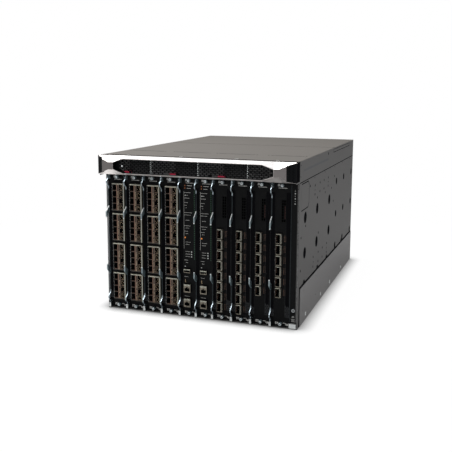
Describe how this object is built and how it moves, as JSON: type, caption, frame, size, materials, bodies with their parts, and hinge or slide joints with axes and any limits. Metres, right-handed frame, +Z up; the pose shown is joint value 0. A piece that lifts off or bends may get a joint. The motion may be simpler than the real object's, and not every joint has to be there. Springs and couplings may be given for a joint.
{
  "type": "modular chassis switch",
  "caption": "rack-height modular network switch: sheet-metal case with vertical slide-in port modules and ejector levers, a faceted bezel over front power supplies, and fan trays at the rear",
  "frame": {"origin": "middle of the bounding box in plan, on the face the case rests on", "axes": "+X to the right seen from the front, +Y from the front to the rear, +Z up"},
  "size_m": [0.442, 0.7146, 0.35],
  "materials": {
    "case_paint": "fine satin powder coat, dark grey",
    "cover_paint": "fine satin powder coat, warm grey",
    "panel_paint": "satin powder coat, mid grey",
    "circuit_board": "solder-masked board, satin",
    "bezel_silver": "silver painted moulding, satin gloss",
    "bezel_black": "black moulded grille",
    "bare_steel": "plated sheet steel",
    "inlet_black": "black moulded inlet",
    "faceplate_black": "near-black satin faceplate",
    "zinc": "bright zinc-plated steel",
    "tray_steel": "satin dark grey sheet metal",
    "fan_black": "black glass-filled fan moulding"
  },
  "bodies": {
    "case": {"chassis_shell": "case_paint", "top_cover": "cover_paint", "side_panels": "panel_paint", "midplane": "circuit_board", "power_supplies": "bare_steel", "power_inlets": "inlet_black", "fabric_modules": "bare_steel"},
    "bezel": {"bezel_frame": "bezel_silver", "bezel_grille": "bezel_black"},
    "line_module_1": {"line_module_1": "faceplate_black"},
    "line_module_1_lower_lever": {"line_module_1_lower_lever": "zinc"},
    "line_module_1_upper_lever": {"line_module_1_upper_lever": "zinc"},
    "line_module_2": {"line_module_2": "faceplate_black"},
    "line_module_2_lower_lever": {"line_module_2_lower_lever": "zinc"},
    "line_module_2_upper_lever": {"line_module_2_upper_lever": "zinc"},
    "line_module_3": {"line_module_3": "faceplate_black"},
    "line_module_3_lower_lever": {"line_module_3_lower_lever": "zinc"},
    "line_module_3_upper_lever": {"line_module_3_upper_lever": "zinc"},
    "line_module_4": {"line_module_4": "faceplate_black"},
    "line_module_4_lower_lever": {"line_module_4_lower_lever": "zinc"},
    "line_module_4_upper_lever": {"line_module_4_upper_lever": "zinc"},
    "management_module_1": {"management_module_1": "faceplate_black"},
    "management_module_1_lower_lever": {"management_module_1_lower_lever": "zinc"},
    "management_module_1_upper_lever": {"management_module_1_upper_lever": "zinc"},
    "management_module_2": {"management_module_2": "faceplate_black"},
    "management_module_2_lower_lever": {"management_module_2_lower_lever": "zinc"},
    "management_module_2_upper_lever": {"management_module_2_upper_lever": "zinc"},
    "uplink_module_1": {"uplink_module_1": "faceplate_black"},
    "uplink_module_1_lower_lever": {"uplink_module_1_lower_lever": "zinc"},
    "uplink_module_1_upper_lever": {"uplink_module_1_upper_lever": "zinc"},
    "uplink_module_2": {"uplink_module_2": "faceplate_black"},
    "uplink_module_2_lower_lever": {"uplink_module_2_lower_lever": "zinc"},
    "uplink_module_2_upper_lever": {"uplink_module_2_upper_lever": "zinc"},
    "uplink_module_3": {"uplink_module_3": "faceplate_black"},
    "uplink_module_3_lower_lever": {"uplink_module_3_lower_lever": "zinc"},
    "uplink_module_3_upper_lever": {"uplink_module_3_upper_lever": "zinc"},
    "uplink_module_4": {"uplink_module_4": "faceplate_black"},
    "uplink_module_4_lower_lever": {"uplink_module_4_lower_lever": "zinc"},
    "uplink_module_4_upper_lever": {"uplink_module_4_upper_lever": "zinc"},
    "fan_tray_1": {"fan_tray_1": "tray_steel"},
    "fan_1_rotor_1": {"fan_1_rotor_1": "fan_black"},
    "fan_1_rotor_2": {"fan_1_rotor_2": "fan_black"},
    "fan_1_rotor_3": {"fan_1_rotor_3": "fan_black"},
    "fan_1_rotor_4": {"fan_1_rotor_4": "fan_black"},
    "fan_1_rotor_5": {"fan_1_rotor_5": "fan_black"},
    "fan_1_rotor_6": {"fan_1_rotor_6": "fan_black"},
    "fan_tray_2": {"fan_tray_2": "tray_steel"},
    "fan_2_rotor_1": {"fan_2_rotor_1": "fan_black"},
    "fan_2_rotor_2": {"fan_2_rotor_2": "fan_black"},
    "fan_2_rotor_3": {"fan_2_rotor_3": "fan_black"},
    "fan_2_rotor_4": {"fan_2_rotor_4": "fan_black"},
    "fan_2_rotor_5": {"fan_2_rotor_5": "fan_black"},
    "fan_2_rotor_6": {"fan_2_rotor_6": "fan_black"},
    "fan_tray_3": {"fan_tray_3": "tray_steel"},
    "fan_3_rotor_1": {"fan_3_rotor_1": "fan_black"},
    "fan_3_rotor_2": {"fan_3_rotor_2": "fan_black"},
    "fan_3_rotor_3": {"fan_3_rotor_3": "fan_black"},
    "fan_3_rotor_4": {"fan_3_rotor_4": "fan_black"},
    "fan_3_rotor_5": {"fan_3_rotor_5": "fan_black"},
    "fan_3_rotor_6": {"fan_3_rotor_6": "fan_black"}
  },
  "joints": [
    {"name": "bezel_pull", "type": "slide", "parent": "case", "child": "bezel", "axis": [0, -1, 0], "range_m": [0, 0.08]},
    {"name": "line_module_1_slide", "type": "slide", "parent": "case", "child": "line_module_1", "axis": [0, -1, 0], "range_m": [0, 0.4]},
    {"name": "line_module_1_lower_lever_turn", "type": "hinge", "parent": "line_module_1", "child": "line_module_1_lower_lever", "pos_m": [-0.2146, -0.30925, 0.015], "axis": [1, 0, 0], "range_deg": [0, 55]},
    {"name": "line_module_1_upper_lever_turn", "type": "hinge", "parent": "line_module_1", "child": "line_module_1_upper_lever", "pos_m": [-0.2146, -0.30925, 0.2986], "axis": [-1, 0, 0], "range_deg": [0, 55]},
    {"name": "line_module_2_slide", "type": "slide", "parent": "case", "child": "line_module_2", "axis": [0, -1, 0], "range_m": [0, 0.4]},
    {"name": "line_module_2_lower_lever_turn", "type": "hinge", "parent": "line_module_2", "child": "line_module_2_lower_lever", "pos_m": [-0.1717, -0.30925, 0.015], "axis": [1, 0, 0], "range_deg": [0, 55]},
    {"name": "line_module_2_upper_lever_turn", "type": "hinge", "parent": "line_module_2", "child": "line_module_2_upper_lever", "pos_m": [-0.1717, -0.30925, 0.2986], "axis": [-1, 0, 0], "range_deg": [0, 55]},
    {"name": "line_module_3_slide", "type": "slide", "parent": "case", "child": "line_module_3", "axis": [0, -1, 0], "range_m": [0, 0.4]},
    {"name": "line_module_3_lower_lever_turn", "type": "hinge", "parent": "line_module_3", "child": "line_module_3_lower_lever", "pos_m": [-0.1288, -0.30925, 0.015], "axis": [1, 0, 0], "range_deg": [0, 55]},
    {"name": "line_module_3_upper_lever_turn", "type": "hinge", "parent": "line_module_3", "child": "line_module_3_upper_lever", "pos_m": [-0.1288, -0.30925, 0.2986], "axis": [-1, 0, 0], "range_deg": [0, 55]},
    {"name": "line_module_4_slide", "type": "slide", "parent": "case", "child": "line_module_4", "axis": [0, -1, 0], "range_m": [0, 0.4]},
    {"name": "line_module_4_lower_lever_turn", "type": "hinge", "parent": "line_module_4", "child": "line_module_4_lower_lever", "pos_m": [-0.0859, -0.30925, 0.015], "axis": [1, 0, 0], "range_deg": [0, 55]},
    {"name": "line_module_4_upper_lever_turn", "type": "hinge", "parent": "line_module_4", "child": "line_module_4_upper_lever", "pos_m": [-0.0859, -0.30925, 0.2986], "axis": [-1, 0, 0], "range_deg": [0, 55]},
    {"name": "management_module_1_slide", "type": "slide", "parent": "case", "child": "management_module_1", "axis": [0, -1, 0], "range_m": [0, 0.4]},
    {"name": "management_module_1_lower_lever_turn", "type": "hinge", "parent": "management_module_1", "child": "management_module_1_lower_lever", "pos_m": [-0.043, -0.30925, 0.015], "axis": [1, 0, 0], "range_deg": [0, 55]},
    {"name": "management_module_1_upper_lever_turn", "type": "hinge", "parent": "management_module_1", "child": "management_module_1_upper_lever", "pos_m": [-0.043, -0.30925, 0.2986], "axis": [-1, 0, 0], "range_deg": [0, 55]},
    {"name": "management_module_2_slide", "type": "slide", "parent": "case", "child": "management_module_2", "axis": [0, -1, 0], "range_m": [0, 0.4]},
    {"name": "management_module_2_lower_lever_turn", "type": "hinge", "parent": "management_module_2", "child": "management_module_2_lower_lever", "pos_m": [-0.005, -0.30925, 0.015], "axis": [1, 0, 0], "range_deg": [0, 55]},
    {"name": "management_module_2_upper_lever_turn", "type": "hinge", "parent": "management_module_2", "child": "management_module_2_upper_lever", "pos_m": [-0.005, -0.30925, 0.2986], "axis": [-1, 0, 0], "range_deg": [0, 55]},
    {"name": "uplink_module_1_slide", "type": "slide", "parent": "case", "child": "uplink_module_1", "axis": [0, -1, 0], "range_m": [0, 0.4]},
    {"name": "uplink_module_1_lower_lever_turn", "type": "hinge", "parent": "uplink_module_1", "child": "uplink_module_1_lower_lever", "pos_m": [0.033, -0.30925, 0.015], "axis": [1, 0, 0], "range_deg": [0, 55]},
    {"name": "uplink_module_1_upper_lever_turn", "type": "hinge", "parent": "uplink_module_1", "child": "uplink_module_1_upper_lever", "pos_m": [0.033, -0.30925, 0.2986], "axis": [-1, 0, 0], "range_deg": [0, 55]},
    {"name": "uplink_module_2_slide", "type": "slide", "parent": "case", "child": "uplink_module_2", "axis": [0, -1, 0], "range_m": [0, 0.4]},
    {"name": "uplink_module_2_lower_lever_turn", "type": "hinge", "parent": "uplink_module_2", "child": "uplink_module_2_lower_lever", "pos_m": [0.0759, -0.30925, 0.015], "axis": [1, 0, 0], "range_deg": [0, 55]},
    {"name": "uplink_module_2_upper_lever_turn", "type": "hinge", "parent": "uplink_module_2", "child": "uplink_module_2_upper_lever", "pos_m": [0.0759, -0.30925, 0.2986], "axis": [-1, 0, 0], "range_deg": [0, 55]},
    {"name": "uplink_module_3_slide", "type": "slide", "parent": "case", "child": "uplink_module_3", "axis": [0, -1, 0], "range_m": [0, 0.4]},
    {"name": "uplink_module_3_lower_lever_turn", "type": "hinge", "parent": "uplink_module_3", "child": "uplink_module_3_lower_lever", "pos_m": [0.1188, -0.30925, 0.015], "axis": [1, 0, 0], "range_deg": [0, 55]},
    {"name": "uplink_module_3_upper_lever_turn", "type": "hinge", "parent": "uplink_module_3", "child": "uplink_module_3_upper_lever", "pos_m": [0.1188, -0.30925, 0.2986], "axis": [-1, 0, 0], "range_deg": [0, 55]},
    {"name": "uplink_module_4_slide", "type": "slide", "parent": "case", "child": "uplink_module_4", "axis": [0, -1, 0], "range_m": [0, 0.4]},
    {"name": "uplink_module_4_lower_lever_turn", "type": "hinge", "parent": "uplink_module_4", "child": "uplink_module_4_lower_lever", "pos_m": [0.1617, -0.30925, 0.015], "axis": [1, 0, 0], "range_deg": [0, 55]},
    {"name": "uplink_module_4_upper_lever_turn", "type": "hinge", "parent": "uplink_module_4", "child": "uplink_module_4_upper_lever", "pos_m": [0.1617, -0.30925, 0.2986], "axis": [-1, 0, 0], "range_deg": [0, 55]},
    {"name": "fan_tray_1_slide", "type": "slide", "parent": "case", "child": "fan_tray_1", "axis": [0, 1, 0], "range_m": [0, 0.08]},
    {"name": "fan_1_rotor_1_spin", "type": "hinge", "parent": "fan_tray_1", "child": "fan_1_rotor_1", "pos_m": [-0.18183, 0.31475, 0.05222], "axis": [0, 1, 0], "continuous": true},
    {"name": "fan_1_rotor_2_spin", "type": "hinge", "parent": "fan_tray_1", "child": "fan_1_rotor_2", "pos_m": [-0.1091, 0.31475, 0.05222], "axis": [0, 1, 0], "continuous": true},
    {"name": "fan_1_rotor_3_spin", "type": "hinge", "parent": "fan_tray_1", "child": "fan_1_rotor_3", "pos_m": [-0.18183, 0.31475, 0.15315], "axis": [0, 1, 0], "continuous": true},
    {"name": "fan_1_rotor_4_spin", "type": "hinge", "parent": "fan_tray_1", "child": "fan_1_rotor_4", "pos_m": [-0.1091, 0.31475, 0.15315], "axis": [0, 1, 0], "continuous": true},
    {"name": "fan_1_rotor_5_spin", "type": "hinge", "parent": "fan_tray_1", "child": "fan_1_rotor_5", "pos_m": [-0.18183, 0.31475, 0.25408], "axis": [0, 1, 0], "continuous": true},
    {"name": "fan_1_rotor_6_spin", "type": "hinge", "parent": "fan_tray_1", "child": "fan_1_rotor_6", "pos_m": [-0.1091, 0.31475, 0.25408], "axis": [0, 1, 0], "continuous": true},
    {"name": "fan_tray_2_slide", "type": "slide", "parent": "case", "child": "fan_tray_2", "axis": [0, 1, 0], "range_m": [0, 0.08]},
    {"name": "fan_2_rotor_1_spin", "type": "hinge", "parent": "fan_tray_2", "child": "fan_2_rotor_1", "pos_m": [-0.03637, 0.31475, 0.05222], "axis": [0, 1, 0], "continuous": true},
    {"name": "fan_2_rotor_2_spin", "type": "hinge", "parent": "fan_tray_2", "child": "fan_2_rotor_2", "pos_m": [0.03637, 0.31475, 0.05222], "axis": [0, 1, 0], "continuous": true},
    {"name": "fan_2_rotor_3_spin", "type": "hinge", "parent": "fan_tray_2", "child": "fan_2_rotor_3", "pos_m": [-0.03637, 0.31475, 0.15315], "axis": [0, 1, 0], "continuous": true},
    {"name": "fan_2_rotor_4_spin", "type": "hinge", "parent": "fan_tray_2", "child": "fan_2_rotor_4", "pos_m": [0.03637, 0.31475, 0.15315], "axis": [0, 1, 0], "continuous": true},
    {"name": "fan_2_rotor_5_spin", "type": "hinge", "parent": "fan_tray_2", "child": "fan_2_rotor_5", "pos_m": [-0.03637, 0.31475, 0.25408], "axis": [0, 1, 0], "continuous": true},
    {"name": "fan_2_rotor_6_spin", "type": "hinge", "parent": "fan_tray_2", "child": "fan_2_rotor_6", "pos_m": [0.03637, 0.31475, 0.25408], "axis": [0, 1, 0], "continuous": true},
    {"name": "fan_tray_3_slide", "type": "slide", "parent": "case", "child": "fan_tray_3", "axis": [0, 1, 0], "range_m": [0, 0.08]},
    {"name": "fan_3_rotor_1_spin", "type": "hinge", "parent": "fan_tray_3", "child": "fan_3_rotor_1", "pos_m": [0.1091, 0.31475, 0.05222], "axis": [0, 1, 0], "continuous": true},
    {"name": "fan_3_rotor_2_spin", "type": "hinge", "parent": "fan_tray_3", "child": "fan_3_rotor_2", "pos_m": [0.18183, 0.31475, 0.05222], "axis": [0, 1, 0], "continuous": true},
    {"name": "fan_3_rotor_3_spin", "type": "hinge", "parent": "fan_tray_3", "child": "fan_3_rotor_3", "pos_m": [0.1091, 0.31475, 0.15315], "axis": [0, 1, 0], "continuous": true},
    {"name": "fan_3_rotor_4_spin", "type": "hinge", "parent": "fan_tray_3", "child": "fan_3_rotor_4", "pos_m": [0.18183, 0.31475, 0.15315], "axis": [0, 1, 0], "continuous": true},
    {"name": "fan_3_rotor_5_spin", "type": "hinge", "parent": "fan_tray_3", "child": "fan_3_rotor_5", "pos_m": [0.1091, 0.31475, 0.25408], "axis": [0, 1, 0], "continuous": true},
    {"name": "fan_3_rotor_6_spin", "type": "hinge", "parent": "fan_tray_3", "child": "fan_3_rotor_6", "pos_m": [0.18183, 0.31475, 0.25408], "axis": [0, 1, 0], "continuous": true}
  ]
}
